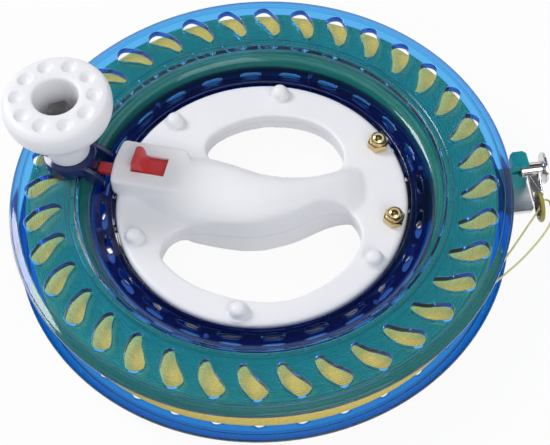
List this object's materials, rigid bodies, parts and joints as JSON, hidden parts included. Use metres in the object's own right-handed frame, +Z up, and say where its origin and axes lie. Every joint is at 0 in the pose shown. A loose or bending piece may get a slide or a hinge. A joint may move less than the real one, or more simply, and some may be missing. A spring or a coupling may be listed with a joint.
{
  "type": "kite line winder",
  "caption": "Round hand winder for kite line: ring reel turning on balls round a palm grip, with winding knob, slide lock and line guide.",
  "frame": {"origin": "on the reel's axis, on the flat under the grip that the winder lies on", "axes": "+Z up along the reel's axis, through the side with the knob; +X towards the line guide; +Y across, away from the line's free loop"},
  "size_m": [0.2398, 0.22, 0.0701],
  "materials": {
    "blue_shell": "clear tinted moulding, glossy",
    "white_shell": "satin moulding",
    "knob_white": "satin moulding, soft edges",
    "lock_red": "moulded, slightly glossy",
    "block_teal": "moulded",
    "brass_nut": "polished plating",
    "bright_steel": "polished plating",
    "dark_steel": "blackened",
    "bolt_steel": "zinc plated",
    "arm_aluminium": "bent sheet, lightly brushed",
    "ball_steel": "polished balls",
    "cage_plastic": "natural nylon",
    "insert_brass": "turned",
    "eye_ring": "polished",
    "eye_liner": "glazed ceramic liner",
    "line_yellow": "braided line"
  },
  "bodies": {
    "handle": {"grip_top_shell": "white_shell", "grip_bottom_shell": "white_shell", "grip_shell_screws": "bolt_steel", "guide_arm": "arm_aluminium", "guide_arm_bolts": "bolt_steel", "guide_acorn_nuts": "brass_nut", "guide_block": "block_teal", "guide_pin": "bright_steel", "guide_barrel": "bright_steel", "guide_strap": "dark_steel", "guide_legs": "bright_steel", "guide_eye": "eye_ring", "guide_eye_insert": "eye_liner", "free_line": "line_yellow"},
    "reel": {"upper_flange": "blue_shell", "lower_flange": "blue_shell", "flange_screws": "bolt_steel", "line_core": "line_yellow", "line_outer_turns": "line_yellow", "knob_axle_bolt": "dark_steel", "knob_axle_washer": "dark_steel", "knob_axle_insert": "insert_brass"},
    "knob": {"winding_knob": "knob_white"},
    "ball_ring": {"ball_cage": "cage_plastic", "bearing_balls": "ball_steel"},
    "lock": {"lock_slide": "lock_red"}
  },
  "joints": [
    {"name": "reel_spin", "type": "hinge", "parent": "handle", "child": "reel", "pos_m": [0, 0, 0.0165], "axis": [0, 0, 1], "continuous": true},
    {"name": "knob_spin", "type": "hinge", "parent": "reel", "child": "knob", "pos_m": [-0.08384, 0.02325, 0.0345], "axis": [0, 0, 1], "continuous": true},
    {"name": "ball_ring_spin", "type": "hinge", "parent": "handle", "child": "ball_ring", "pos_m": [0, 0, 0.0165], "axis": [0, 0, 1], "continuous": true},
    {"name": "lock_travel", "type": "slide", "parent": "handle", "child": "lock", "axis": [0.9636, -0.2672, 0], "range_m": [0, 0.007]}
  ],
  "couplings": [
    {"joint": "ball_ring_spin", "follows": "reel_spin", "ratio": 0.5108}
  ]
}
